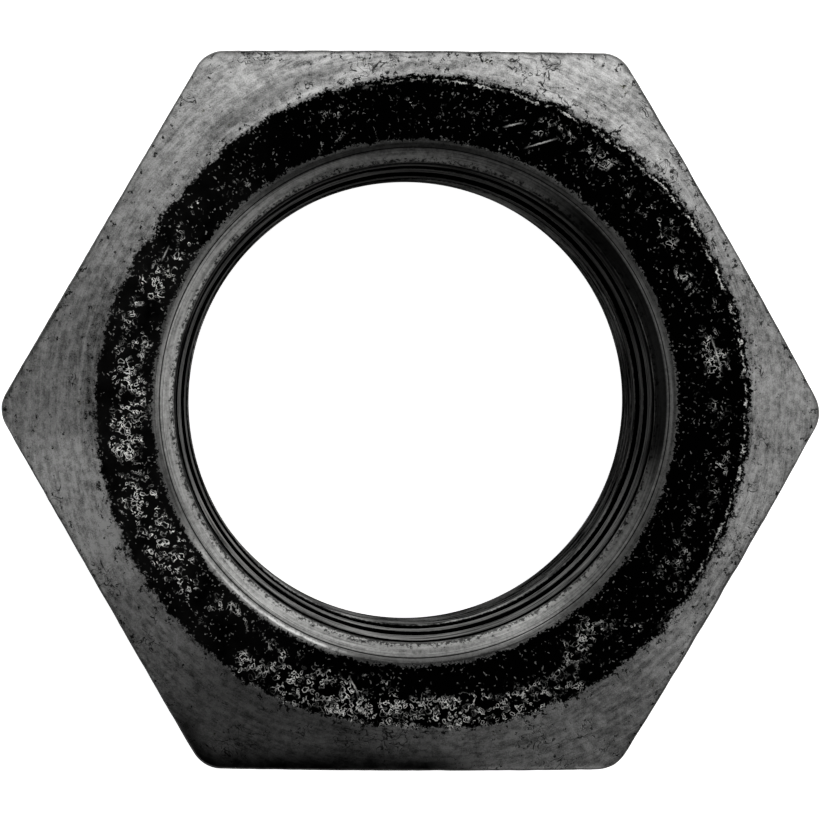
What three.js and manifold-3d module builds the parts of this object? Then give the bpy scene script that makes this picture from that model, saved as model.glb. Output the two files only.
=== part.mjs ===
// A thin hexagon nut with a fine metric thread, in millimetres, with +Z along the thread axis.
// The hexagon stands on z = 0, centred on the origin, with two of its corners on the X axis.
import * as THREE from "three";
import { mergeVertices } from "three/addons/utils/BufferGeometryUtils.js";
import Module from "manifold-3d";

const wasm = await Module();
wasm.setup();

// Hexagon
const wrenchSize = 36; // across the flats
const nutHeight = 12;
const cornerRadius = 1.6; // rounding of the six upright edges
const faceMargin = 1.65; // from the wrench flats in to the edge of the round bearing face
const chamferAngle = THREE.MathUtils.degToRad(30); // between the chamfer and the bearing face

// Thread, right-handed
const threadDiameter = 24;
const threadPitch = 1.5;
const threadTopAngle = 0; // from the X axis to where the groove's middle meets the top countersink

// Bore mouths
const countersinkWidth = 1; // from the thread's root out to the countersink's edge
const countersinkAngle = THREE.MathUtils.degToRad(120); // across the cone
const flareDepth = 4; // the top mouth widens from the thread's crest to its root over this depth

// Run-out of this nut. Zeros give a nominal nut.
const chamferRunOut = new THREE.Vector2(0.49, 0.34); // from the hexagon's axis to the chamfers' axis
const threadRunOut = new THREE.Vector2(0.06, 0.43); // from the hexagon's axis to the thread's axis

// Smoothness of the faceted solid
const cornerSegments = 6;
const roundSegments = 64;

// A cutter passes this far beyond the surface that it cuts.
const overrun = 1;

// Basic thread form: 60 degree flanks, a flat of an eighth of the pitch at the root and of a
// quarter at the crest, so the thread is five eighths of the sharp triangle's height deep.
const flankAngle = THREE.MathUtils.degToRad(30); // between a flank and the radius
const rootFlat = threadPitch / 8;
const crestFlat = threadPitch / 4;
const threadDepth = (threadPitch - rootFlat - crestFlat) / 2 / Math.tan(flankAngle);
const rootRadius = threadDiameter / 2;
const crestRadius = rootRadius - threadDepth;

// Countersinks. The top one ends where it is as wide as the thread's root, and the flare starts.
const coneSlope = 1 / Math.tan(countersinkAngle / 2);
const coneRadius = rootRadius + countersinkWidth;
const flareTop = nutHeight - countersinkWidth * coneSlope;

/** A manifold solid from a closed three.js geometry. */
function solidFrom(geometry) {
  geometry.deleteAttribute("normal");
  geometry.deleteAttribute("uv");
  const merged = mergeVertices(geometry);
  return new wasm.Manifold(
    new wasm.Mesh({
      numProp: 3,
      vertProperties: merged.attributes.position.array,
      triVerts: new Uint32Array(merged.index.array),
    }),
  );
}

/** The three.js geometry of a manifold solid. */
function geometryFrom(solid) {
  const mesh = solid.getMesh();
  const geometry = new THREE.BufferGeometry();
  geometry.setAttribute("position", new THREE.BufferAttribute(mesh.vertProperties, 3));
  geometry.setIndex(new THREE.BufferAttribute(mesh.triVerts, 1));
  const faceted = geometry.toNonIndexed();
  faceted.computeVertexNormals();
  return faceted;
}

/** A profile of [radius, height] points, starting and ending on the axis, turned round Z. */
function turned(profile, axis) {
  const points = profile.map(([radius, height]) => new THREE.Vector2(radius, height));
  const geometry = new THREE.LatheGeometry(points, roundSegments);
  geometry.rotateX(Math.PI / 2);
  geometry.translate(axis.x, axis.y, 0);
  return solidFrom(geometry);
}

/** The hexagonal bar with rounded upright edges. */
function hexagonBar() {
  const arcCentre = (wrenchSize / 2 - cornerRadius) / Math.cos(Math.PI / 6);
  const outline = new THREE.Shape();
  for (let corner = 0; corner < 6; corner++) {
    const angle = (corner * Math.PI) / 3;
    const x = arcCentre * Math.cos(angle);
    const y = arcCentre * Math.sin(angle);
    outline.absarc(x, y, cornerRadius, angle - Math.PI / 6, angle + Math.PI / 6);
  }
  const settings = { depth: nutHeight, bevelEnabled: false, curveSegments: cornerSegments };
  return solidFrom(new THREE.ExtrudeGeometry(outline, settings));
}

/** A turned blank wider than the hexagon, whose chamfered end leaves one bearing face. */
function chamferBlank(chamferedEnd) {
  const faceRadius = wrenchSize / 2 - faceMargin;
  const widestRadius = wrenchSize / Math.sqrt(3) + chamferRunOut.length() + overrun;
  const chamferDepth = (widestRadius - faceRadius) * Math.tan(chamferAngle);
  const profile = [
    [0, -overrun],
    [widestRadius, -overrun],
    [widestRadius, nutHeight - chamferDepth],
    [faceRadius, nutHeight],
    [0, nutHeight],
  ];
  if (chamferedEnd === "top") return turned(profile, chamferRunOut);
  const turnedOver = profile.map(([radius, height]) => [radius, nutHeight - height]);
  return turned(turnedOver.reverse(), chamferRunOut);
}

/** The tapping bore with a countersink at each end and the flared mouth at the top. */
function boreCutter() {
  const mouthRadius = coneRadius + overrun / coneSlope;
  const bottomConeHeight = (coneRadius - crestRadius) * coneSlope;
  const profile = [
    [0, -overrun],
    [mouthRadius, -overrun],
    [crestRadius, bottomConeHeight],
    [crestRadius, flareTop - flareDepth],
    [rootRadius, flareTop],
    [mouthRadius, nutHeight + overrun],
    [0, nutHeight + overrun],
  ];
  return turned(profile, threadRunOut);
}

/** A straight path up the thread's axis whose frames turn once per pitch. */
class ScrewPath extends THREE.LineCurve3 {
  computeFrenetFrames(steps) {
    const tangents = [];
    const normals = [];
    const binormals = [];
    for (let step = 0; step <= steps; step++) {
      const climb = this.getPointAt(step / steps).z - flareTop;
      const angle = threadTopAngle + (2 * Math.PI * climb) / threadPitch;
      tangents.push(new THREE.Vector3(-Math.sin(angle), Math.cos(angle), 0));
      normals.push(new THREE.Vector3(Math.cos(angle), Math.sin(angle), 0));
      binormals.push(new THREE.Vector3(0, 0, -1));
    }
    return { tangents, normals, binormals };
  }
}

/** The helical groove between the thread's crests, run out beyond both faces. */
function grooveCutter() {
  const inward = threadPitch / 10; // keeps the groove's open side clear of the crest
  const openHalf = (threadPitch - crestFlat) / 2 + inward * Math.tan(flankAngle);
  const section = new THREE.Shape([
    new THREE.Vector2(crestRadius - inward, -openHalf),
    new THREE.Vector2(rootRadius, -rootFlat / 2),
    new THREE.Vector2(rootRadius, rootFlat / 2),
    new THREE.Vector2(crestRadius - inward, openHalf),
  ]);
  // Whole turns from the flare's top keep the steps in line with the bore's own facets.
  const turnsBelow = Math.ceil(flareTop / threadPitch) + 1;
  const turnsAbove = Math.ceil((nutHeight - flareTop) / threadPitch) + 1;
  const path = new ScrewPath(
    new THREE.Vector3(threadRunOut.x, threadRunOut.y, flareTop - turnsBelow * threadPitch),
    new THREE.Vector3(threadRunOut.x, threadRunOut.y, flareTop + turnsAbove * threadPitch),
  );
  const settings = { steps: (turnsBelow + turnsAbove) * roundSegments, extrudePath: path };
  return solidFrom(new THREE.ExtrudeGeometry(section, settings));
}

/** The finished nut body. */
function nutBody() {
  const solid = hexagonBar()
    .intersect(chamferBlank("top"))
    .intersect(chamferBlank("bottom"))
    .subtract(boreCutter())
    .subtract(grooveCutter());
  const steel = new THREE.MeshStandardMaterial({
    color: 0x3a3a38,
    roughness: 0.5,
    metalness: 0.9,
  });
  const mesh = new THREE.Mesh(geometryFrom(solid), steel);
  mesh.name = "nut_body";
  return mesh;
}

const group = new THREE.Group();
group.add(nutBody());
export default group;
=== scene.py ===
import math

import bpy
import numpy as np
from bpy.props import FloatProperty, FloatVectorProperty, IntProperty, PointerProperty
from mathutils import Matrix, Vector


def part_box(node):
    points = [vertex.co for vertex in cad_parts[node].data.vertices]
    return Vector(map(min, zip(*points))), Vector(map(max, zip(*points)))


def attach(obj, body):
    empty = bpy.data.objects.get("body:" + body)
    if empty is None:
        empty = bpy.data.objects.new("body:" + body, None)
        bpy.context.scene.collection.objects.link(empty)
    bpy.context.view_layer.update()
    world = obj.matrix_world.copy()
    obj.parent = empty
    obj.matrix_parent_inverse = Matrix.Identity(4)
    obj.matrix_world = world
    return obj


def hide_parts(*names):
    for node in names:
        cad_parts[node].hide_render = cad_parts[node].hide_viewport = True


bl_info = {
    "name": "Thin Hex Nut",
    "version": (1, 0, 0),
    "blender": (4, 5, 0),
    "location": "View3D > Sidebar > Hex Nut",
    "description": "Builds a forged thin hex nut with a fine thread, its steel and its studio",
    "category": "Add Mesh",
}

MM = 0.001

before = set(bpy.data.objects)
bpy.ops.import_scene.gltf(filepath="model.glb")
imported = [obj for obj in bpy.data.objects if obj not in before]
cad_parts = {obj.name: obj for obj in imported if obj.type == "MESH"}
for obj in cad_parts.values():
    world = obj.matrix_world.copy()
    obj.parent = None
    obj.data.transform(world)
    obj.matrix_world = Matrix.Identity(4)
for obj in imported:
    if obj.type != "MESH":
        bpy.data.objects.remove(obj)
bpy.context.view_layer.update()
NUT_LOW, NUT_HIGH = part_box("nut_body")
ACROSS_FLATS = NUT_HIGH[1] - NUT_LOW[1]
ACROSS_CORNERS = NUT_HIGH[0] - NUT_LOW[0]
HEIGHT = NUT_HIGH[2] - NUT_LOW[2]
SHARP_CORNERS = ACROSS_FLATS / math.cos(math.pi / 6)
# Rounding a corner by r takes (1 / cos 30 - 1) r off its tip.
CORNER_RADIUS = (SHARP_CORNERS - ACROSS_CORNERS) / 2 / (1 / math.cos(math.pi / 6) - 1)


def length(name, description, default, **more):
    """A length setting in metres."""
    return FloatProperty(
        name=name, description=description, default=default, subtype="DISTANCE", unit="LENGTH",
        precision=5, **more,
    )


def offset(name, description, default):
    """A sideways offset in metres, as x and y."""
    return FloatVectorProperty(
        name=name, description=description, size=2, default=default, subtype="XYZ",
        unit="LENGTH", precision=5,
    )


def colour(name, description, default):
    """A linear colour setting."""
    return FloatVectorProperty(
        name=name, description=description, size=3, default=default, subtype="COLOR",
        min=0.0, max=1.0,
    )


class NutSizes(bpy.types.PropertyGroup):
    """Sizes of the nut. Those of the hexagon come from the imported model."""

    across_flats: length("Across flats", "Wrench size", ACROSS_FLATS)
    height: length("Height", "From one bearing face to the other", HEIGHT)
    corner_radius: length("Corner radius", "Rounding of the upright edges", CORNER_RADIUS)
    face_margin: length(
        "Face margin", "From the wrench flats in to the edge of the round bearing face", 0.00165
    )
    chamfer_angle: FloatProperty(
        name="Chamfer angle", description="Between the chamfer and the bearing face",
        default=math.radians(30), subtype="ANGLE", unit="ROTATION",
    )
    thread_diameter: length("Thread diameter", "Across the thread's roots", 0.024)
    thread_pitch: length("Thread pitch", "Climb of the thread in one turn", 0.0015)
    countersink_width: length(
        "Countersink width", "From the thread's root out to the countersink's edge", 0.001
    )
    flare_depth: length(
        "Flare depth", "Over which the top mouth widens from the crest to the root", 0.004
    )
    chamfer_run_out: offset(
        "Chamfer run-out", "From the hexagon's axis to the chamfers' axis", (0.00049, 0.00034)
    )
    thread_run_out: offset(
        "Thread run-out", "From the hexagon's axis to the thread's axis", (0.00006, 0.00043)
    )
    edge_wear: length("Edge wear", "Rounding of the sharp edges by wear", 0.00012)
    columns: IntProperty(
        name="Columns", description="Steps of the surface round the nut", default=600, min=90
    )


class NutFinish(bpy.types.PropertyGroup):
    """Colours of the nut's steel, with painted shade on the bearing faces and painted glints on
    the rims of their pits.
    """

    worn_steel: colour("Worn steel", "Chamfers, rubbed grey", (0.37, 0.37, 0.365))
    # Painted shade: near black on the bearing faces for the dark room that they reflect; the same
    # black is the dark of pits in chamfers and flats.
    pit_black_and_painted_face_shade: colour("Black scale", "Bearing faces", (0.0004, 0.0004, 0.0004))
    # Painted glint: the rims of the pits are painted near white, as if catching the light.
    painted_fleck_glint: colour("Bright fleck", "Rims of the pits in the scale", (0.95, 0.95, 0.92))
    turned_steel: colour("Turned steel", "Countersinks and thread crests", (0.42, 0.42, 0.41))
    dull_flat: colour("Dull flat", "Wrench flats", (0.2, 0.2, 0.196))
    old_oil: colour("Old oil", "Olive stain in pits and corners", (0.055, 0.055, 0.028))


class StageSettings(bpy.types.PropertyGroup):
    """Floor, lights and camera."""

    floor_colour: colour("Floor colour", "Pale floor", (0.9, 0.9, 0.9))
    floor_glow: FloatProperty(
        name="Floor glow", description="Light of the backlit floor", default=1.12, min=0.0
    )
    light_power: FloatProperty(
        name="Light power", description="Of the strongest softbox", default=1.0, unit="POWER"
    )
    light_elevation: FloatProperty(
        name="Light elevation", description="Of the softboxes, above the floor",
        default=math.radians(23), subtype="ANGLE", unit="ROTATION",
    )
    camera_distance: length("Camera distance", "Above the top face", 0.33)
    camera_foot: offset("Camera foot", "Where the camera stands over the nut", (-0.01695, 0.00467))
    camera_roll: FloatProperty(
        name="Camera roll", description="About its line of sight", default=math.radians(0.29),
        subtype="ANGLE", unit="ROTATION",
    )


class NutSettings(bpy.types.PropertyGroup):
    """All settings of the add-on."""

    sizes: PointerProperty(type=NutSizes)
    finish: PointerProperty(type=NutFinish)
    stage: PointerProperty(type=StageSettings)


# ---------------------------------------------------------------- surface of the nut, in mm


# Where the chamfer bites into the bearing face: direction and spread in degrees, depth in mm.
FACE_BITES = ((-90, 14, 0.24), (140, 24, 0.36))


class NutForm:
    """The nut's sizes in millimetres and the curves that they give.

    Angles turn anticlockwise from +X round the thread's axis, and a ray is a straight line
    from that axis at one angle.
    """

    flank_slope = math.tan(math.radians(30))  # of a thread flank, from the radius
    cone_slope = 1 / math.tan(math.radians(60))  # drop of a 120 degree countersink per radius
    walk_steps = 24  # enough for hexagon_reach to come to rest

    def __init__(self, sizes):
        self.height = sizes.height / MM
        self.apothem = sizes.across_flats / MM / 2
        self.corner_radius = sizes.corner_radius / MM
        self.face_radius = self.apothem - sizes.face_margin / MM
        self.chamfer_slope = math.tan(sizes.chamfer_angle)
        self.pitch = sizes.thread_pitch / MM
        self.root_radius = sizes.thread_diameter / MM / 2
        # Half widths: the groove is an eighth of the pitch wide at its root and three quarters
        # at the crest, where a quarter is left.
        self.root_half = self.pitch / 16
        self.crest_half = self.pitch * 3 / 8
        self.crest_radius = (
            self.root_radius - (self.crest_half - self.root_half) / self.flank_slope
        )
        self.mouth_radius = self.root_radius + sizes.countersink_width / MM
        self.cone_depth = (self.mouth_radius - self.root_radius) * self.cone_slope
        self.thread_bottom = self.cone_depth
        self.thread_top = self.height - self.cone_depth
        self.flare_depth = sizes.flare_depth / MM
        self.thread_axis = np.array(sizes.thread_run_out) / MM
        self.chamfer_axis = np.array(sizes.chamfer_run_out) / MM
        self.wear = sizes.edge_wear / MM

    def bore_radius(self, z):
        """Radius of the untapped bore: two 120 degree cones, the flare and the crest radius,
        whichever is widest at that height."""
        top_cone = self.root_radius + (z - self.thread_top) / self.cone_slope
        bottom_cone = self.root_radius + (self.thread_bottom - z) / self.cone_slope
        climb = (z - self.thread_top) / self.flare_depth
        flare = self.root_radius + (self.root_radius - self.crest_radius) * climb
        return np.maximum.reduce(
            [top_cone, bottom_cone, flare, np.full_like(z, self.crest_radius)]
        )

    def groove_radius(self, angle, z):
        """Radius of the helical groove: the root radius within root_half of the groove's
        middle, less the distance beyond that over the flank's slope."""
        beyond = np.maximum(self.from_groove(angle, z) - self.root_half, 0)
        return self.root_radius - beyond / self.flank_slope

    def from_groove(self, angle, z):
        """Height above or below the nearest groove's middle."""
        turns = (z - self.thread_top) / self.pitch - angle / (2 * np.pi)
        return np.abs(turns - np.round(turns)) * self.pitch

    def groove_opening(self, z):
        """Half the width of the groove's opening, which narrows where the bore is wider."""
        return self.root_half + (self.root_radius - self.bore_radius(z)) * self.flank_slope

    def past_groove(self, angle, z):
        """How far a point stands from the groove's nearest edge, negative in the groove."""
        return self.from_groove(angle, z) - self.groove_opening(z)

    def inside_radius(self, angle, z):
        """Radius of the tapped bore: the larger of bore and groove, blended over the wear."""
        bore = self.bore_radius(z)
        groove = self.groove_radius(angle, z)
        return (bore + groove + np.hypot(bore - groove, self.wear / 4)) / 2

    def hexagon_reach(self, angle):
        """Length of each ray out to the rounded hexagon, found by walking along the ray by
        the distance that is still left to the outline."""
        ray = np.stack([np.cos(angle), np.sin(angle)])
        reach = np.full_like(angle, self.face_radius)
        inner = self.apothem - self.corner_radius
        half_side = inner * math.tan(math.pi / 6)
        for _ in range(self.walk_steps):
            x, y = self.thread_axis[:, None] + ray * reach
            turn = np.arctan2(y, x)
            # The nearest flat's normal points at 30, 90, 150 ... degrees.
            normal = (np.floor(turn / (np.pi / 3)) + 0.5) * np.pi / 3
            out = x * np.cos(normal) + y * np.sin(normal) - inner
            along = np.abs(y * np.cos(normal) - x * np.sin(normal)) - half_side
            left = np.where(along > 0, np.hypot(along, out), out) - self.corner_radius
            reach = reach - left
        return reach

    def face_edge_radius(self, angle):
        """Radius of the bearing face's edge round the chamfers' axis: a circle, less
        depth exp(-(away / spread)^2) for each bite of the chamfer."""
        radius = np.full_like(angle, self.face_radius)
        for middle, spread, depth in FACE_BITES:
            away = np.angle(np.exp(1j * (angle - math.radians(middle))))
            radius = radius - depth * np.exp(-((away / math.radians(spread)) ** 2))
        return radius

    def face_reach(self, angle):
        """Length of each ray out to the bearing face's edge: a ray from a point at d off the
        circle's centre meets it after d.u + sqrt(R^2 - d.d + (d.u)^2)."""
        dx, dy = self.chamfer_axis - self.thread_axis
        along = dx * np.cos(angle) + dy * np.sin(angle)
        radius = self.face_edge_radius(angle)
        return along + np.sqrt(radius**2 - dx * dx - dy * dy + along**2)

    def past_face(self, angle, reach):
        """How far a point lies outside the bearing face's edge, negative on the face."""
        dx, dy = self.chamfer_axis - self.thread_axis
        from_chamfer_axis = np.hypot(
            reach * np.cos(angle) - dx, reach * np.sin(angle) - dy
        )
        return from_chamfer_axis - self.face_edge_radius(angle)

    def chamfer_drop(self, angle, reach):
        """Depth of the chamfer below the bearing face: a straight cone, with the edge blended
        over the wear."""
        past = self.past_face(angle, reach)
        return self.chamfer_slope * (past + np.hypot(past, 2 * self.wear)) / 2


def waves(x, y, z, wavelength, seed, count=40):
    """Smooth random relief of unit strength: a sum of plane waves whose directions and
    phases are drawn at random and whose lengths are near the one given."""
    random = np.random.default_rng(seed)
    directions = random.normal(size=(count, 3))
    directions /= np.linalg.norm(directions, axis=1, keepdims=True)
    numbers = 2 * np.pi / (wavelength * random.uniform(0.7, 1.6, size=(count, 1)))
    phases = random.uniform(0, 2 * np.pi, size=count)
    total = np.zeros_like(x)
    for (kx, ky, kz), phase in zip(directions * numbers, phases):
        total += np.sin(kx * x + ky * y + kz * z + phase)
    return total * math.sqrt(2 / count)


# Places of the rows across one pitch, as shares of the pitch from the groove's middle, with the
# groove's edge and the least that its opening may close up to.
THREAD_STEPS = (-0.5, -0.41, -0.375, -0.3, -0.0625, 0.0, 0.0625, 0.3, 0.375, 0.41)
GROOVE_EDGE = 0.375
LEAST_OPENING = 0.09

# Places of the ring rows, as shares of the way across the countersink, face and chamfer.
TOP_CONE = (0, 0.14, 0.28, 0.42, 0.56, 0.66, 0.70, 0.74, 0.78, 0.86, 0.94)
UNDER_CONE = (0, 0.25, 0.5, 0.75)
TOP_FACE = np.linspace(0, 0.98, 12)
UNDER_FACE = np.linspace(0, 0.98, 7)
TOP_CHAMFER = np.concatenate([[0, 0.02, 0.05], np.linspace(0.1, 1, 15)])
UNDER_CHAMFER = np.concatenate([[0, 0.03], np.linspace(0.1, 1, 10)])
WALL_STEPS = np.linspace(0, 1, 8)
EDGE_DROP = 1.2  # how far down the wall a worn edge ends, as a share of the wear

BORE, MOUTH, FACE, CHAMFER, WALL = range(5)

# Forged unevenness: size of the waves in mm, their seed and their share, then their depth in mm.
FORGED_WAVES = ((3.2, 3, 1.0), (1.1, 5, 0.5))
CHAMFER_RELIEF, FACE_RELIEF, WALL_RELIEF = 0.016, 0.003, 0.012

# What the mesh carries, in mm, where a distance has no meaning.
NO_CHAMFER, NO_EDGE, NO_GROOVE = -2.0, 9.0, 1.0


def column_angles(columns):
    """Angles of the columns, once round, closer together at the corners of the hexagon:
    da/dt = 1 - crowding cos 6t."""
    crowding = 0.55
    t = np.linspace(0, 2 * np.pi, columns + 1)
    return t - crowding / 6 * np.sin(6 * t)


def thread_rows(form, angle):
    """Rows that climb with the thread, so that its edges lie along them. Each is cut off
    at the thread's lowest and highest ring."""
    grooves = math.ceil((form.thread_top - form.thread_bottom) / form.pitch) + 1
    rows = []
    for groove in range(-grooves + 1, 1):
        middle = form.thread_top + form.pitch * (groove + angle / (2 * np.pi))
        # The steps follow the groove's edges, so they spread or close up with its opening.
        inside = np.clip(middle, form.thread_bottom, form.thread_top)
        opening = np.maximum(form.groove_opening(inside) / form.pitch, LEAST_OPENING)
        for step in THREAD_STEPS:
            share = abs(step)
            in_groove = share / GROOVE_EDGE * opening
            past_edge = (share - GROOVE_EDGE) / (0.5 - GROOVE_EDGE)
            on_crest = opening + past_edge * (0.5 - opening)
            away = np.where(share <= GROOVE_EDGE, in_groove, on_crest)
            rows.append(middle + math.copysign(1, step) * away * form.pitch)
    return np.array(rows)


def half_profile(form, angle, cone_steps, face_steps, chamfer_steps):
    """Rows from the thread's end ring over the countersink, the bearing face and the chamfer
    to the wall, as (reach, depth below the bearing face, kind)."""
    rows = []
    mouth = form.mouth_radius
    for share in cone_steps:
        reach = form.root_radius + share * (mouth - form.root_radius)
        rows.append((reach * np.ones_like(angle), (mouth - reach) * form.cone_slope, MOUTH))
    face = form.face_reach(angle)
    for share in face_steps:
        reach = mouth + share * (face - mouth)
        rows.append((reach, form.chamfer_drop(angle, reach), FACE))
    hexagon = form.hexagon_reach(angle)
    for share in chamfer_steps:
        reach = face + share * (hexagon - form.wear - face)
        rows.append((reach, form.chamfer_drop(angle, reach), CHAMFER))
    return rows


def worn_edge(form, start_reach, start_height, end_reach, end_height):
    """Three rows round an edge, on the curve ((1-t)^2 A + 2t(1-t) B + t^2 C) whose corner B
    has the end's reach and the start's height."""
    rows = []
    for t in (0.25, 0.5, 0.75):
        reach = (1 - t) ** 2 * start_reach + (1 - (1 - t) ** 2) * end_reach
        height = (1 - t**2) * start_height + t**2 * end_height
        rows.append((reach, height, WALL))
    return rows


class NutSurface:
    """The closed grid of the nut: columns round the thread's axis, rows up the bore, out over
    the top, down the wrench flats and back in underneath."""

    def __init__(self, form, columns):
        self.form = form
        self.angle = column_angles(columns)
        self.columns = columns
        self.climbing = thread_rows(form, self.angle)
        rows = self.ring_rows()
        self.reach = np.array([row[0] * np.ones_like(self.angle) for row in rows])
        self.height = np.array([row[1] * np.ones_like(self.angle) for row in rows])
        self.kind = np.array([row[2] for row in rows])
        self.add_relief()

    def ring_rows(self):
        """The rows that go straight round, from the thread's top ring to its bottom ring."""
        form, angle = self.form, self.angle
        top = half_profile(form, angle, TOP_CONE, TOP_FACE, TOP_CHAMFER)
        under = half_profile(form, angle, UNDER_CONE, UNDER_FACE, UNDER_CHAMFER)
        wall = form.hexagon_reach(angle)
        top_rows = [(reach, form.height - depth, kind) for reach, depth, kind in top]
        under_rows = list(reversed(under))
        high = top_rows[-1][1] - EDGE_DROP * form.wear
        low = under_rows[0][1] + EDGE_DROP * form.wear
        rows = top_rows + worn_edge(form, top_rows[-1][0], top_rows[-1][1], wall, high)
        for share in WALL_STEPS:
            rows.append((wall, high + share * (low - high), WALL))
        lower = worn_edge(form, under_rows[0][0], under_rows[0][1], wall, low)
        return rows + list(reversed(lower)) + under_rows

    def add_relief(self):
        """Forged unevenness: dents of the size of the waves, taken off the height of faces
        and chamfers and off the reach of the wall."""
        x, y = self.place(self.angle, self.reach)
        forged = sum(
            share * waves(x, y, self.height, size, seed) for size, seed, share in FORGED_WAVES
        )
        kind = self.kind[:, None]
        up = np.where(kind == CHAMFER, CHAMFER_RELIEF, np.where(kind == FACE, FACE_RELIEF, 0))
        side = np.where(kind == WALL, WALL_RELIEF, 0)
        above = np.sign(self.height - self.form.height / 2)
        self.height = self.height - np.abs(up * forged) * above
        self.reach = self.reach - np.abs(side * forged)

    def place(self, angle, reach):
        """Cartesian x and y of points given by angle and reach."""
        x0, y0 = self.form.thread_axis
        return x0 + reach * np.cos(angle), y0 + reach * np.sin(angle)

    def points(self):
        """All the grid's points in millimetres, and the values that the steel reads:

        past_mouth: distance out from the countersink's edge
        past_face: distance out from the bearing face's edge, over the chamfer
        inset: distance in from the hexagon's outline
        wall: 1 on the wrench flats and corners
        past_edge: distance from the nearer end of the wrench flat
        past_groove: distance from the groove's nearest edge, in the bore
        """
        form = self.form
        low, high = form.thread_bottom, form.thread_top
        heights = np.vstack([np.clip(self.climbing, low, high), self.height])
        angle = np.broadcast_to(self.angle, heights.shape)
        inside = form.inside_radius(angle, heights)
        reach = np.vstack([inside[: len(self.climbing)], self.reach])
        kind = np.concatenate([np.full(len(self.climbing), BORE), self.kind])[:, None]
        in_bore = (kind == BORE) | (kind == MOUTH)
        reach = np.where(in_bore, inside, reach)
        x, y = self.place(angle, reach)
        on_wall = np.flatnonzero(self.kind == WALL)
        high_edge, low_edge = self.height[on_wall[0]], self.height[on_wall[-1]]
        past_edge = np.minimum(high_edge - heights, heights - low_edge)
        values = {
            "past_mouth": reach - form.mouth_radius,
            "past_face": np.where(in_bore, NO_CHAMFER, form.past_face(angle, reach)),
            "inset": np.where(in_bore, NO_EDGE, form.hexagon_reach(self.angle) - reach),
            "wall": np.where(kind == WALL, 1.0, 0.0) * np.ones_like(reach),
            "past_edge": np.where(kind == WALL, past_edge, NO_EDGE),
            "past_groove": np.where(
                kind == BORE, form.past_groove(angle, heights), NO_GROOVE
            ),
        }
        return np.stack([x, y, heights], axis=-1), values

    def names(self):
        """For each grid place, the number of its point. A climbing row that is cut off has
        the ring's own point, and the last column has the first one's points, a pitch on."""
        climbing = len(self.climbing)
        rows = climbing + len(self.height)
        row = np.broadcast_to(np.arange(rows)[:, None], (rows, self.columns + 1)).copy()
        gap = 1e-6
        below = self.climbing <= self.form.thread_bottom + gap
        above = self.climbing >= self.form.thread_top - gap
        last = np.arange(climbing) + len(THREAD_STEPS)
        row[:climbing, -1] = last
        row[:climbing][below] = rows - 1
        row[:climbing][above] = climbing
        column = np.broadcast_to(np.arange(self.columns + 1), row.shape).copy()
        column[:, -1] = 0
        return row * self.columns + column

    def triangles(self):
        """Two triangles for each grid cell, facing out, without those that have no area."""
        names = self.names()
        after = np.roll(names, -1, axis=0)
        a, b = names[:, :-1], after[:, :-1]
        c, d = after[:, 1:], names[:, 1:]
        pairs = np.stack([a, b, c, a, c, d], axis=-1).reshape(-1, 3)
        p, q, r = pairs.T
        return pairs[(p != q) & (q != r) & (p != r)]


def build_mesh(name, points, triangles, values):
    """A mesh object from whole arrays, in metres, with each value as a point attribute."""
    used, compact = np.unique(triangles, return_inverse=True)
    compact = compact.reshape(triangles.shape)
    mesh = bpy.data.meshes.new(name)
    mesh.vertices.add(len(used))
    mesh.vertices.foreach_set("co", (points[used] * MM).astype(np.float32).ravel())
    mesh.loops.add(compact.size)
    mesh.loops.foreach_set("vertex_index", compact.astype(np.int32).ravel())
    mesh.polygons.add(len(compact))
    mesh.polygons.foreach_set("loop_start", np.arange(0, compact.size, 3, dtype=np.int32))
    mesh.polygons.foreach_set("use_smooth", np.ones(len(compact), dtype=bool))
    mesh.update(calc_edges=True)
    for key, value in values.items():
        layer = mesh.attributes.new(key, "FLOAT", "POINT")
        layer.data.foreach_set("value", value[used].astype(np.float32))
    mesh.validate()
    obj = bpy.data.objects.new(name, mesh)
    bpy.context.scene.collection.objects.link(obj)
    return obj


# ---------------------------------------------------------------- shader maths


def opaque(rgb):
    """A colour with full alpha."""
    return (*rgb, 1.0)


class Signal:
    """A socket's value on its way through a node tree. Arithmetic on it adds Math nodes."""

    def __init__(self, tree, socket):
        self.tree = tree
        self.socket = socket

    def math(self, operation, *values):
        """The result of a Math node."""
        return self.tree.node("ShaderNodeMath", {"operation": operation}, dict(enumerate(values)))

    def __add__(self, other):
        return self.math("ADD", self, other)

    def __radd__(self, other):
        return self.math("ADD", other, self)

    def __sub__(self, other):
        return self.math("SUBTRACT", self, other)

    def __rsub__(self, other):
        return self.math("SUBTRACT", other, self)

    def __mul__(self, other):
        return self.math("MULTIPLY", self, other)

    def __rmul__(self, other):
        return self.math("MULTIPLY", other, self)

    def __truediv__(self, other):
        return self.math("DIVIDE", self, other)

    def __abs__(self):
        return self.math("ABSOLUTE", self)

    def other(self, name):
        """Another output of the node that this value comes from."""
        return Signal(self.tree, self.socket.node.outputs[name])

    def root(self):
        """The square root."""
        return self.math("SQRT", self)

    def most(self, other):
        """The larger of the two."""
        return self.math("MAXIMUM", self, other)

    def rise(self, start, end):
        """0 up to start, 1 from end on, and a smooth step between them."""
        settings = {"interpolation_type": "SMOOTHSTEP", "clamp": True}
        return self.tree.node("ShaderNodeMapRange", settings, {0: self, 1: start, 2: end})

    def band(self, middle, half_width):
        """1 at the middle, falling smoothly to 0 at half_width on either side."""
        return 1 - abs(self - middle).rise(0, half_width)


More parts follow.
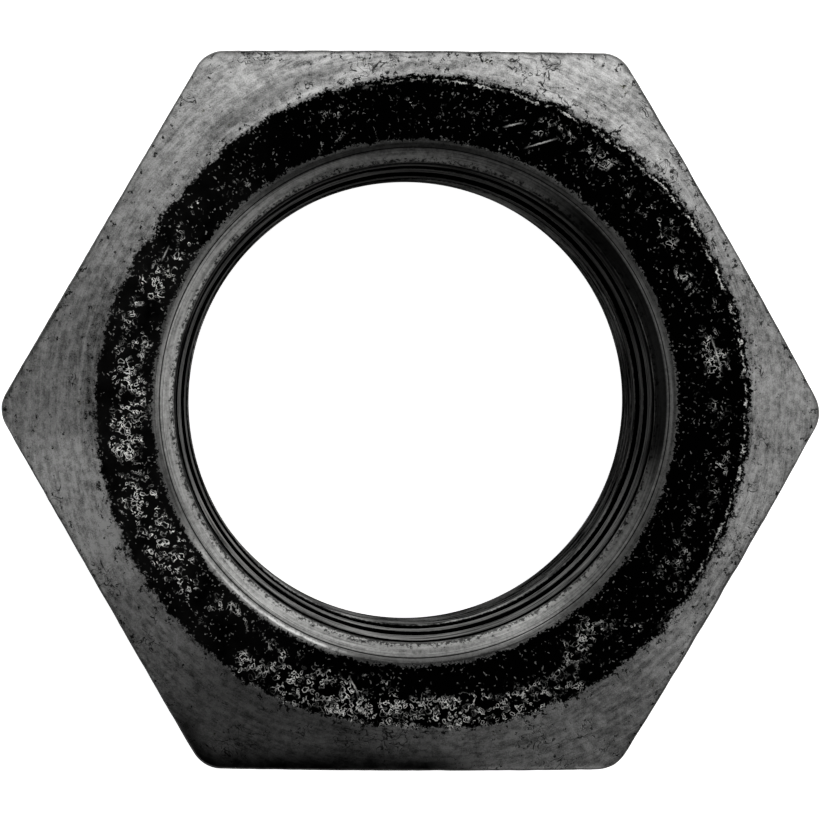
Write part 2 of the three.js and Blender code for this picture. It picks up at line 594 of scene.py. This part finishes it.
class NodeTree:
    """The node tree of a material or a world."""

    def __init__(self, owner):
        self.owner = owner
        owner.use_nodes = True
        self.nodes = owner.node_tree.nodes
        self.links = owner.node_tree.links
        self.nodes.clear()

    def node(self, kind, settings=None, inputs=None, output=0):
        """Adds a node, sets it up, feeds its sockets with values or signals and returns the
        signal of one output. The setting stops gives a ramp's places and grey levels."""
        made = self.nodes.new(kind)
        settings = dict(settings or {})
        stops = settings.pop("stops", ())
        for key, value in settings.items():
            setattr(made, key, value)
        for place, _ in stops[1:-1]:
            made.color_ramp.elements.new(place)
        for index, (place, level) in enumerate(stops):
            made.color_ramp.elements[index].position = place
            made.color_ramp.elements[index].color = opaque((level, level, level))
        for key, value in (inputs or {}).items():
            if isinstance(value, Signal):
                self.links.new(value.socket, made.inputs[key])
            else:
                made.inputs[key].default_value = value
        return Signal(self, made.outputs[output]) if made.outputs else None

    def attribute(self, name):
        """A value that the mesh carries at its points."""
        return self.node("ShaderNodeAttribute", {"attribute_name": name}, output="Fac")

    def noise(self, vector, scale, detail=2.0, roughness=0.5, distortion=0.0):
        """Smooth noise from 0 to 1, with scale features to each unit of the vector."""
        inputs = {
            "Vector": vector, "Scale": scale, "Detail": detail, "Roughness": roughness,
            "Distortion": distortion,
        }
        return self.node("ShaderNodeTexNoise", {}, inputs)

    def vector(self, x, y, z):
        """A vector from three numbers or signals."""
        return self.node("ShaderNodeCombineXYZ", {}, {0: x, 1: y, 2: z})

    def blend(self, factor, first, second):
        """A colour that goes from first to second as factor goes from 0 to 1."""
        settings = {"data_type": "RGBA"}
        return self.node("ShaderNodeMix", settings, {0: factor, 6: first, 7: second}, output=2)

    def shift(self, vector, amounts):
        """The vector moved by constant amounts."""
        settings = {"operation": "ADD"}
        return self.node("ShaderNodeVectorMath", settings, {0: vector, 1: amounts})


# Middle of each scratch in the scale in mm, its direction in degrees and its half length.
SCRATCHES = (
    (4.9, 14.3, 13, 0.6), (6.3, 13.4, 17, 1.0), (-12.4, 7.8, 65, 0.5), (-2.9, -13.7, -63, 0.6),
    (15.1, 3.0, -72, 1.0),
)
SCRATCH_HALF_WIDTH = 0.06


class SteelPattern:
    """What the nut's finishes share: places in mm, the values that the mesh carries, noises
    and the zones, whose borders are ragged."""

    def __init__(self, tree, form):
        self.tree = tree
        self.form = form
        spot = tree.node("ShaderNodeTexCoord", output="Object")
        enlarge = {"operation": "SCALE"}
        self.spot = tree.node("ShaderNodeVectorMath", enlarge, {0: spot, "Scale": 1 / MM})
        apart = tree.node("ShaderNodeSeparateXYZ", {}, {0: self.spot})
        self.x, self.y, self.z = (apart.other(axis) for axis in "XYZ")
        self.past_mouth = tree.attribute("past_mouth")
        self.past_face = tree.attribute("past_face")
        self.inset = tree.attribute("inset")
        self.wall = tree.attribute("wall")
        self.past_edge = tree.attribute("past_edge")
        self.past_groove = tree.attribute("past_groove")

        # Distance from the thread's axis, and the unit vector away from it.
        out_x = self.x - float(form.thread_axis[0])
        out_y = self.y - float(form.thread_axis[1])
        self.radius = (out_x * out_x + out_y * out_y).root()
        self.unit_x, self.unit_y = out_x / self.radius, out_y / self.radius

        # From the largest features to the finest.
        self.broad = self.spotty(1, 0.3)
        self.patchy = self.spotty(2, 0.9, detail=3.0)
        self.cloud = self.spotty(5, 2.6, detail=4.0, roughness=0.65)
        self.speckle = self.spotty(6, 2.6, detail=4.0, roughness=0.75)
        self.fine = self.spotty(3, 7.0, detail=3.0, roughness=0.65)
        self.grain = self.spotty(4, 14.0, detail=3.0, roughness=0.7)
        self.oil = self.spotty(9, 0.8).rise(0.62, 0.7) * self.speckle.rise(0.56, 0.62)

        self.ragged = (self.fine - 0.5) * 0.8 + (self.patchy - 0.5) * 0.8
        self.on_chamfer = (self.past_face + self.ragged).rise(-0.05, 0.08)
        past_mouth = self.past_mouth + (self.fine - 0.5) * 0.8 + (self.patchy - 0.5) * 0.4
        self.in_mouth = 1 - past_mouth.rise(0.02, 0.16)
        self.on_face = (1 - self.on_chamfer) * (1 - self.in_mouth)
        low, high = form.thread_bottom, form.thread_top
        self.in_thread = self.z.rise(low - 0.03, low) * (1 - self.z.rise(high, high + 0.03))
        self.on_top = self.z.rise(0.4 * form.height, 0.6 * form.height)
        # Painted shade: the side of the bore painted darker, where shade falls.
        self.painted_shade_side = self.sector(18, 26, 22)

    def sector(self, middle, half, soft=12):
        """1 within half degrees of the middle direction, fading to 0 over soft degrees."""
        middle = math.radians(middle)
        facing = self.unit_x * math.cos(middle) + self.unit_y * math.sin(middle)
        return facing.rise(math.cos(math.radians(half + soft)), math.cos(math.radians(half)))

    def spotty(self, seed, scale, detail=2.0, roughness=0.5, distortion=0.0):
        """Noise with its own seed and scale features to the millimetre."""
        moved = self.tree.shift(self.spot, (seed * 7.3, seed * 3.1, seed * 5.7))
        return self.tree.noise(moved, scale, detail, roughness, distortion)

    def rims(self, bent, scale, size, width, share):
        """Closed rims, with scale cells to the millimetre: each is a contour round a point of
        a cell pattern. Its size and width are shares of a cell, and only a share of the cells
        has one, some fainter than others."""
        settings = {"voronoi_dimensions": "2D", "feature": "F1"}
        inputs = {"Vector": bent, "Scale": scale, "Randomness": 1.0}
        away = self.tree.node("ShaderNodeTexVoronoi", settings, inputs)
        draw = self.tree.node("ShaderNodeSeparateXYZ", {}, {0: away.other("Color")})
        chosen = draw.rise(1 - share, 1.02 - share)
        return away.band(size, width) * chosen * (0.35 + 0.65 * draw.other("Y"))


def chamfer_finish(steel):
    """Rubbed grey steel, mottled, with streaks that run round, cracks, dark pits and painted light
    and shade on some sides. Returns its tone, its dark pits with painted shade along the lower
    flat, and its relief."""
    tree, sector, past_face = steel.tree, steel.sector, steel.past_face
    around = tree.vector(steel.unit_x * 5.0, steel.unit_y * 5.0, past_face * 2.2)
    streaks = tree.noise(around, 1.0, detail=4.0, roughness=0.6)
    flow = tree.noise(tree.shift(around, (3.0, 1.0, 4.0)), 2.1, detail=5.0, roughness=0.75)
    tone = 0.17 + steel.broad.rise(0.3, 0.7) * 0.16 + streaks.rise(0.34, 0.66) * 0.14
    tone = tone + steel.cloud.rise(0.36, 0.64) * 0.3 + flow.rise(0.4, 0.6) * 0.2
    tone = tone + (steel.grain - 0.5)

    # Painted light and shade: brighter on some sides, darker on others.
    tone = tone * (1 + 0.2 * sector(138, 34, 20)) * (1 - 0.3 * sector(172, 7, 12))
    tone = tone * (1 + 0.4 * sector(200, 5, 12)) * (1 + 0.2 * sector(14, 5, 12))
    cracks = flow.band(0.44, 0.018) * steel.patchy.rise(0.48, 0.6)
    tone = tone * (1 - 0.5 * cracks)
    # Painted shade toward -112 degrees and painted light toward -74 degrees.
    tone = tone * (1 - 0.4 * sector(-112, 9, 14)) * (1 + 0.3 * sector(-74, 4, 12))

    # Marks of the forging and turning: a crescent, the lip beside it, a step and a crease.
    crescent = past_face.band(0.95, 0.65) * sector(116, 6, 12) * steel.on_top
    lip = past_face.band(0.22, 0.2) * sector(109, 6, 12)
    inside_step = 0.85 - (past_face + steel.ragged * 0.2)
    step = inside_step.band(0, 0.12) * 0.14 - inside_step.rise(0.02, 0.2) * 0.12
    crease = past_face.band(1.5, 0.12) * sector(-40, 10, 16)
    tone = tone * (1 - crescent * 0.45) + lip * 0.3 + crease * 0.1
    tone = tone + sector(172, 12, 12) * step

    # Painted shade: darker near the outline toward -104 degrees, where the edge turns down away
    # from the light.
    stain = sector(-104, 15, 14) * (1 - steel.inset.rise(0.15, 1.6))
    stain = stain * (0.75 + steel.patchy * 0.5)
    near_border = 1 - past_face.rise(0.0, 1.1)
    near_outline = 1 - steel.inset.rise(0.05, 0.9)
    pits = (steel.speckle + near_border * 0.085 + near_outline * 0.07).rise(0.635, 0.67)
    worms = steel.spotty(7, 1.5, roughness=0.6, distortion=0.6).band(0.5, 0.03)
    pits = pits.most(worms * steel.spotty(8, 0.42, detail=1.0).rise(0.57, 0.6))
    relief = steel.grain * 0.4 - pits * 0.9 + steel.cloud + flow
    return tone, pits.most(stain), relief


def face_glint_finish(steel):
    """Painted glints on the black bearing faces: the rims of pits, which gather in patches, and
    scratches, all painted bright as if they caught the light. Returns the painted glints, how oily
    they are, and the relief."""
    tree, sector = steel.tree, steel.sector
    past_face, past_mouth = steel.past_face, steel.past_mouth
    inputs = {"Vector": steel.spot, "Scale": 3.0, "Detail": 2.0}
    wobble = tree.node("ShaderNodeTexNoise", {}, inputs, output="Color")
    wobble = tree.node("ShaderNodeVectorMath", {"operation": "SCALE"}, {0: wobble, "Scale": 0.55})
    bent = tree.node("ShaderNodeVectorMath", {"operation": "ADD"}, {0: steel.spot, 1: wobble})

    # Where the flecks gather: on the left and along the front, away from the borders.
    gather = steel.spotty(13, 0.5, detail=3.0, roughness=0.65)
    rich = sector(184, 24, 40) * 0.095 + sector(-92, 20, 16) * past_face.rise(-2.4, -1.0) * 0.2
    rich = rich - sector(100, 40, 30) * 0.05 - sector(-95, 30, 20) * 0.05
    rich = rich + sector(10, 50, 20) * past_mouth.rise(1.2, 1.9) * 0.015
    outer_quiet = past_face.rise(-0.95, -0.4) * (1 - sector(-92, 25, 20))
    quiet = (1 - past_mouth.rise(0.25, 0.8)).most(outer_quiet)
    quiet = quiet.most((1 - past_mouth.rise(0.9, 1.9)) * sector(22, 50, 25))
    patches = (gather + rich - quiet * 0.2).rise(0.5, 0.62)

    shine = steel.spotty(14, 2.6).rise(0.38, 0.56)
    loops = steel.rims(bent, 2.6, 0.33, 0.085, 0.5).most(steel.rims(bent, 4.1, 0.3, 0.12, 0.5))
    dots = steel.rims(bent, 6.2, 0.14, 0.15, 0.22) * (0.25 + 0.75 * patches)
    glint_flecks = (loops * patches).most(dots * 0.9) * (0.1 + 0.9 * shine)
    # Painted glints, brighter toward 182 degrees.
    glint_flecks = glint_flecks * (1 + 0.7 * sector(182, 34, 25))
    # Painted highlight along the bearing face's worn edge, toward 30 degrees.
    edge_highlight = (past_face + steel.ragged * 0.6).band(-0.24, 0.07) * steel.cloud.rise(0.45, 0.6)
    glint_flecks = glint_flecks.most(edge_highlight * sector(30, 45, 30) * 0.8)
    for start_x, start_y, angle, reach in SCRATCHES:
        cos, sin = math.cos(math.radians(angle)), math.sin(math.radians(angle))
        across = (steel.x - start_x) * -sin + (steel.y - start_y) * cos
        across = (across + (steel.fine - 0.5) * 0.12).band(0, SCRATCH_HALF_WIDTH)
        along = ((steel.x - start_x) * cos + (steel.y - start_y) * sin).band(0, reach)
        glint_flecks = glint_flecks.most(across * along * steel.cloud * steel.on_top)
    haze = (gather - 0.3) * sector(182, 30, 40) * 0.015
    oily = steel.oil.most(gather.rise(0.62, 0.7)) * 0.4
    return glint_flecks.most(haze), oily, steel.cloud * 0.8 + glint_flecks * 2.5


def countersink_finish(steel):
    """Turned steel with two cut lines and a ragged dark band inside, with painted light and shade
    on some sides, a side painted dark as shade and a painted highlight on its rolled lip. Returns
    its tone and its relief."""
    sector, past_mouth, fine = steel.sector, steel.past_mouth, steel.fine
    around = steel.tree.vector(steel.unit_x * 2.5, steel.unit_y * 2.5, steel.radius * 9)
    turning = steel.tree.noise(around, 1.0, detail=3.0, roughness=0.6)
    cut_line = steel.radius.band(steel.form.mouth_radius - 0.27, 0.05)
    second_line = steel.radius.band(steel.form.mouth_radius - 0.42, 0.025) * 0.6
    tone = 0.24 + turning.rise(0.35, 0.65) * 0.26 + steel.cloud.rise(0.36, 0.64) * 0.14
    tone = (tone + (fine - 0.5) * 0.5) * (1 - past_mouth.rise(-0.32, -0.2) * 0.4)
    tone = tone * (1 - cut_line) * (1 - second_line)
    fringe = past_mouth.rise(-0.22, -0.05) * fine.rise(0.45, 0.65)
    tone = tone * (1 - fringe * 0.6)

    # Painted light and shade: brighter on some sides, darker on others.
    tone = tone * (1 + 0.5 * sector(195, 14, 20)) * (1 + 0.6 * sector(106, 18, 22))
    tone = tone * (1 - 0.3 * sector(-98, 14, 18)) * (1 - 0.3 * sector(-38, 9, 12))
    tone = tone * (1 - 0.35 * past_mouth.rise(-0.5, -0.25) * sector(-120, 40, 20))
    tone = tone * (1 - 0.6 * past_mouth.rise(-0.45, -0.3) * sector(100, 20, 14))
    # Painted highlight on the rolled lip toward -129 degrees.
    lip_highlight = (past_mouth + steel.ragged * 0.2).band(-0.02, 0.24) * sector(-129, 14, 14)
    tone = tone + lip_highlight * steel.cloud.rise(0.25, 0.5) * (0.35 + fine * 0.8)

    inner_band = past_mouth + (fine - 0.5) * 1.2 + (steel.cloud - 0.5) * 0.8
    inner_band = 1 - inner_band.rise(-0.98, -0.84)
    # The ragged dark band inside, darker on the painted shade side, and painted shade over the
    # cone's inner part on that side.
    dark = inner_band * (0.8 + 0.2 * steel.painted_shade_side)
    dark = dark.most(steel.painted_shade_side * (1 - past_mouth.rise(-0.46, -0.26)) * 0.96)
    return tone * (1 - dark), turning * 0.35 - cut_line * 0.6


def thread_finish(steel):
    """A torn thread: tone with marks that run round, painted shade deeper down and black in its
    grooves, painted light and shade on some sides and a painted shadow line.
    """
    tree, sector, z, fine = steel.tree, steel.sector, steel.z, steel.fine
    around = tree.vector(steel.unit_x * 3.0, steel.unit_y * 3.0, z * 7)
    tearing = tree.noise(around, 1.0, detail=3.0, roughness=0.65)
    around = tree.vector(steel.unit_x * 7.0, steel.unit_y * 7.0, z * 22)
    hatch = tree.noise(around, 1.0, detail=2.0, roughness=0.6)
    tone = 0.1 + tearing.rise(0.4, 0.6) * 0.6 + (hatch - 0.5) * 0.9 + (fine - 0.5) * 0.4
    # Painted shade: darker deeper down and on the painted shade side.
    tone = tone * (0.65 + 0.35 * z.rise(5.5, 9.5)) * (1 - 0.4 * steel.painted_shade_side)
    # Painted light: brighter toward -122 degrees, and deep down toward 52 degrees.
    tone = tone * (1 + 0.35 * sector(-122, 26, 24))
    tone = tone * (1 + 1.6 * sector(52, 22, 18) * (1 - z.rise(5.0, 9.0)))
    # Painted shade: black in the grooves, a wider line near the top.
    groove_shade_reach = steel.past_groove + (fine - 0.5) * 0.08 + 0.05 - 0.115 * z.rise(7.6, 8.6)
    tone = tone * groove_shade_reach.rise(-0.01, 0.045)
    # Painted shadow: a dark line where the bore is 1.05 mm inside the countersink's edge.
    return tone * (1 - (steel.past_mouth + (fine - 0.5) * 0.1).band(-1.05, 0.085))


def flat_finish(steel):
    """Dull wrench flats, scuffed, rubbed brighter at their ends and at the upright edges.
    Returns their tone, pits and relief."""
    x, y, fine, grain = steel.x, steel.y, steel.fine, steel.grain
    drawn_out = steel.tree.vector(x * 0.5, y * 0.5, steel.z * 2.0)
    scuffs = steel.tree.noise(drawn_out, 1.6, detail=4.0, roughness=0.7)
    corner = (x * x + y * y).root().rise(19.6, 20.4)
    past_edge = steel.past_edge + (steel.patchy - 0.5) * 0.9
    rubbed_edge = (1 - past_edge.rise(0.02, 0.32)) * fine.rise(0.3, 0.6)
    tone = 0.16 + scuffs.rise(0.3, 0.7) * 0.22 + steel.broad.rise(0.3, 0.7) * 0.12
    tone = tone + (grain - 0.5) * 0.25 + corner * 0.6 * fine + rubbed_edge * 0.55
    pits = steel.speckle.rise(0.62, 0.68)
    return tone, pits, scuffs * 0.8 + grain * 0.3 - pits * 0.8


def steel_material(name, form, finish):
    """Forged steel: bearing faces painted black as shade, with painted glints on the rims of their
    pits, rubbed grey chamfers, turned countersinks and a dark thread, both with painted light and
    shade, and dull wrench flats."""
    tree = NodeTree(bpy.data.materials.new(name))
    steel = SteelPattern(tree, form)
    chamfer_tone, chamfer_pits_and_shade, chamfer_relief = chamfer_finish(steel)
    glint_flecks, oily, bearing_face_relief = face_glint_finish(steel)
    mouth_tone, mouth_relief = countersink_finish(steel)
    flat_tone, flat_pits, flat_relief = flat_finish(steel)

    black = opaque((0.0, 0.0, 0.0))
    # The bearing faces' black is painted shade; in pits on the chamfers and flats it is their own
    # dark.
    scale, oil = opaque(finish.pit_black_and_painted_face_shade), opaque(finish.old_oil)
    chamfer = tree.blend(chamfer_tone, black, opaque(finish.worn_steel))
    chamfer = tree.blend(steel.oil * 0.6, chamfer, oil)
    chamfer = tree.blend(chamfer_pits_and_shade * 0.93, chamfer, scale)
    flat = tree.blend(flat_tone, black, opaque(finish.dull_flat))
    flat = tree.blend(steel.oil * 0.5, flat, oil)
    flat = tree.blend(flat_pits * 0.7, flat, scale)
    # Bearing faces: painted shade for their black, with painted glints on the rims of their pits.
    face = tree.blend(glint_flecks, scale, tree.blend(oily, opaque(finish.painted_fleck_glint), oil))
    mouth = tree.blend(mouth_tone, black, opaque(finish.turned_steel))
    thread = tree.blend(thread_finish(steel), black, opaque(finish.turned_steel))
    surface = tree.blend(steel.wall, chamfer, flat)
    surface = tree.blend(steel.on_face, surface, face)
    inside = tree.blend(steel.in_thread, mouth, thread)
    surface = tree.blend(steel.in_mouth, surface, inside)

    relief = chamfer_relief * steel.on_chamfer + bearing_face_relief * steel.on_face
    relief = relief + mouth_relief * steel.in_mouth + flat_relief * steel.wall
    bump = tree.node(
        "ShaderNodeBump", {}, {"Strength": 0.4, "Distance": 0.04 * MM, "Height": relief}
    )
    roughness = 0.5 + 0.2 * (steel.cloud - 0.5) + 0.1 * steel.on_face - 0.1 * steel.in_mouth
    shader = tree.node(
        "ShaderNodeBsdfPrincipled", {},
        {
            "Base Color": surface,
            "Metallic": 0.5 * (1 - steel.on_face) * (1 - steel.wall * 0.5),
            "Roughness": roughness, "Normal": bump, "Specular IOR Level": 0.0,
        },
    )
    tree.node("ShaderNodeOutputMaterial", {}, {"Surface": shader})
    return tree.owner


def floor_material(name, settings):
    """A pale backlit sheet: a matt surface that also glows."""
    tree = NodeTree(bpy.data.materials.new(name))
    shader = tree.node(
        "ShaderNodeBsdfPrincipled", {},
        {
            "Base Color": opaque(settings.floor_colour), "Roughness": 0.9,
            "Emission Color": opaque(settings.floor_colour),
            "Emission Strength": settings.floor_glow,
        },
    )
    tree.node("ShaderNodeOutputMaterial", {}, {"Surface": shader})
    return tree.owner


# ---------------------------------------------------------------- stage, in metres

FLOOR_REACH = 0.6  # from the nut to the floor's edges
LAMP_SIZE = 0.2
LAMP_DISTANCE = 0.35

# Azimuth of each softbox in degrees from +X, and its share of the light power.
SOFTBOXES = (
    ("key_light", 60, 1.0), ("back_light", 105, 0.75), ("left_light", 190, 0.3),
    ("right_light", -18, 0.45),
)

# Brightness of the room by height, from straight down at 0 to straight up at 1: only the pale
# surroundings just below the horizon shine, which reach the upright walls and little else.
ROOM = ((0.32, 0.0), (0.38, 0.6), (0.48, 0.6), (0.52, 0.02), (0.9, 0.0))

# The view's width as a share of the width across flats, how far below the top face that holds,
# and how far left of the middle the camera looks.
VIEW_SHARE = 1.142
VIEW_DEPTH = 0.001
LOOK_LEFT = 0.000117


def aim(obj, target, up, roll=0.0):
    """Turns a lamp or camera at obj.location so that it looks at the target, with its top
    toward up and then rolled about its line of sight."""
    back = (obj.location - Vector(target)).normalized()
    right = Vector(up).cross(back).normalized()
    turned = Matrix((right, back.cross(right), back)).transposed()
    obj.rotation_euler = (turned @ Matrix.Rotation(roll, 3, "Z")).to_euler()


def make_floor(settings):
    """A square floor under the nut."""
    corners = np.array([[-1, -1, 0], [1, -1, 0], [1, 1, 0], [-1, 1, 0]]) * FLOOR_REACH
    corners[:, 2] = NUT_LOW[2]
    mesh = bpy.data.meshes.new("floor")
    mesh.from_pydata(corners.tolist(), [], [(0, 1, 2, 3)])
    floor = bpy.data.objects.new("floor", mesh)
    bpy.context.scene.collection.objects.link(floor)
    mesh.materials.append(floor_material("pale_floor", settings))
    # The sheet's own glow would fill the shadows, so the nut doesn't receive it.
    floor.visible_diffuse = False
    floor.visible_glossy = False


def make_softbox(name, azimuth, elevation, power):
    """A square lamp that looks at the nut from an azimuth, turned from +X, and an elevation."""
    data = bpy.data.lights.new(name, "AREA")
    data.shape = "SQUARE"
    data.size = LAMP_SIZE
    data.energy = power
    lamp = bpy.data.objects.new(name, data)
    bpy.context.scene.collection.objects.link(lamp)
    ray = Vector((math.cos(azimuth), math.sin(azimuth), math.tan(elevation))).normalized()
    lamp.location = ray * LAMP_DISTANCE
    aim(lamp, (0, 0, NUT_HIGH[2] / 2), (0, 0, 1))
    lamp.visible_camera = False


def make_world():
    """A dim room, pale low down and dark overhead."""
    tree = NodeTree(bpy.data.worlds.new("room"))
    spot = tree.node("ShaderNodeTexCoord", output="Generated")
    apart = tree.node("ShaderNodeSeparateXYZ", {}, {0: spot})
    height = 0.5 + 0.5 * apart.other("Z")
    glow = tree.node("ShaderNodeValToRGB", {"stops": ROOM}, {0: height})
    light = tree.node("ShaderNodeBackground", {}, {"Color": glow})
    tree.node("ShaderNodeOutputWorld", {}, {"Surface": light})
    bpy.context.scene.world = tree.owner


def make_camera(settings):
    """A long lens high above the top face, a little to the back left, aimed at the nut."""
    data = bpy.data.cameras.new("camera")
    data.sensor_width = 36.0
    camera = bpy.data.objects.new("camera", data)
    bpy.context.scene.collection.objects.link(camera)
    foot_x, foot_y = settings.camera_foot
    camera.location = (foot_x, foot_y, NUT_HIGH[2] + settings.camera_distance)
    aim(camera, (-LOOK_LEFT, 0.0, NUT_HIGH[2]), (0, 1, 0), settings.camera_roll)
    reach = math.hypot(foot_x, foot_y, settings.camera_distance + VIEW_DEPTH)
    data.lens = data.sensor_width * reach / (VIEW_SHARE * ACROSS_FLATS)
    data.clip_start = 0.01
    data.clip_end = 10.0
    bpy.context.scene.camera = camera


# ---------------------------------------------------------------- operators, panel, main


class NUT_OT_make_body(bpy.types.Operator):
    """Build the nut's surface and give it its steel"""

    bl_idname = "nut.make_body"
    bl_label = "Nut Body"

    def execute(self, context):
        settings = context.scene.hex_nut
        form = NutForm(settings.sizes)
        surface = NutSurface(form, settings.sizes.columns)
        points, values = surface.points()
        # The last column repeats the first.
        inner = (slice(None), slice(0, -1))
        values = {key: value[inner].ravel() for key, value in values.items()}
        grid = points[inner].reshape(-1, 3)
        nut = build_mesh("forged_nut", grid, surface.triangles(), values)
        nut.data.materials.append(steel_material("forged_steel", form, settings.finish))
        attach(nut, "root")
        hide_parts("nut_body")
        return {"FINISHED"}


class NUT_OT_make_stage(bpy.types.Operator):
    """Add the floor, the lights and the camera"""

    bl_idname = "nut.make_stage"
    bl_label = "Stage"

    def execute(self, context):
        settings = context.scene.hex_nut.stage
        make_floor(settings)
        make_world()
        for name, azimuth, share in SOFTBOXES:
            power = settings.light_power * share
            make_softbox(name, math.radians(azimuth), settings.light_elevation, power)
        make_camera(settings)
        context.scene.view_settings.view_transform = "Standard"
        return {"FINISHED"}


class NUT_PT_panel(bpy.types.Panel):
    """The add-on's buttons in the sidebar"""

    bl_idname = "NUT_PT_panel"
    bl_label = "Hex Nut"
    bl_space_type = "VIEW_3D"
    bl_region_type = "UI"
    bl_category = "Hex Nut"

    def draw(self, context):
        settings = context.scene.hex_nut
        for operator in OPERATORS:
            self.layout.operator(operator.bl_idname)
        for group in (settings.sizes, settings.finish, settings.stage):
            column = self.layout.column()
            for key in group.__annotations__:
                column.prop(group, key)


OPERATORS = (NUT_OT_make_body, NUT_OT_make_stage)
CLASSES = (NutSizes, NutFinish, StageSettings, NutSettings, *OPERATORS, NUT_PT_panel)


def register():
    """Adds the classes and the scene's settings."""
    for cls in CLASSES:
        bpy.utils.register_class(cls)
    bpy.types.Scene.hex_nut = PointerProperty(type=NutSettings)


def unregister():
    """Takes the classes and the settings away again."""
    del bpy.types.Scene.hex_nut
    for cls in reversed(CLASSES):
        bpy.utils.unregister_class(cls)


def main():
    """Builds the nut and its stage."""
    register()
    bpy.ops.nut.make_body()
    bpy.ops.nut.make_stage()


if __name__ == "__main__":
    main()
